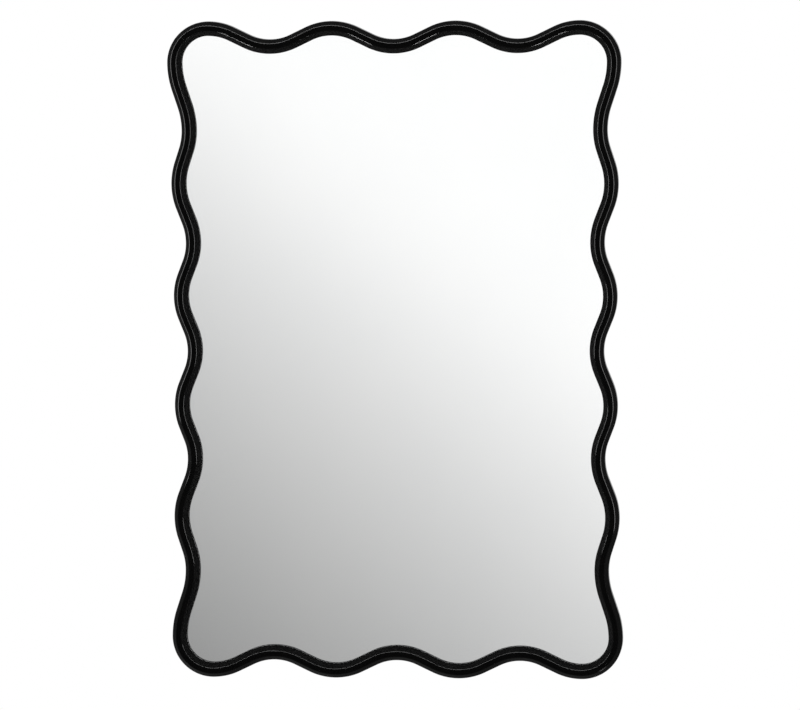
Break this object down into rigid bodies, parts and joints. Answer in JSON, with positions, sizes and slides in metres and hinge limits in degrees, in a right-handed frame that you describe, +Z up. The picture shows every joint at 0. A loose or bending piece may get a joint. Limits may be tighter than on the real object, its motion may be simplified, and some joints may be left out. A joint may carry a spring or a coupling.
{
  "type": "wavy framed wall mirror",
  "caption": "Upright wall mirror in a thin black lacquered frame whose sides run in waves between rounded corner lobes, with folding D-ring hangers on the back.",
  "frame": {"origin": "in the wall's plane, behind the middle of the mirror", "axes": "+Z up, +X to the right as seen from the front, +Y from the front into the wall"},
  "size_m": [0.629, 0.028, 0.914],
  "materials": {
    "black_lacquer": "black satin lacquer on wood",
    "dowel_wood": "bare beech",
    "clear_glass": "clear float glass",
    "silvering": "silvered",
    "foam": "white closed-cell foam",
    "fibreboard": "brown fibreboard",
    "zinc_steel": "zinc plated",
    "nickel_steel": "nickel plated",
    "bumper_rubber": "matt black rubber"
  },
  "bodies": {
    "mirror": {"frame_top_rail": "black_lacquer", "frame_bottom_rail": "black_lacquer", "frame_left_stile": "black_lacquer", "frame_right_stile": "black_lacquer", "top_left_dowels": "dowel_wood", "top_right_dowels": "dowel_wood", "bottom_left_dowels": "dowel_wood", "bottom_right_dowels": "dowel_wood", "mirror_glass": "clear_glass", "mirror_silvering": "silvering", "foam_sheet": "foam", "backing_board": "fibreboard", "backing_screws": "zinc_steel", "left_hanger_strap": "zinc_steel", "left_hanger_screws": "zinc_steel", "right_hanger_strap": "zinc_steel", "right_hanger_screws": "zinc_steel", "left_bumper": "bumper_rubber", "right_bumper": "bumper_rubber"},
    "left_ring": {"left_d_ring": "nickel_steel"},
    "right_ring": {"right_d_ring": "nickel_steel"}
  },
  "joints": [
    {"name": "left_ring_turn", "type": "hinge", "parent": "mirror", "child": "left_ring", "pos_m": [-0.2825, -0.00345, 0.178], "axis": [1, 0, 0], "range_deg": [0, 173]},
    {"name": "right_ring_turn", "type": "hinge", "parent": "mirror", "child": "right_ring", "pos_m": [0.2825, -0.00345, 0.178], "axis": [1, 0, 0], "range_deg": [0, 173]}
  ]
}
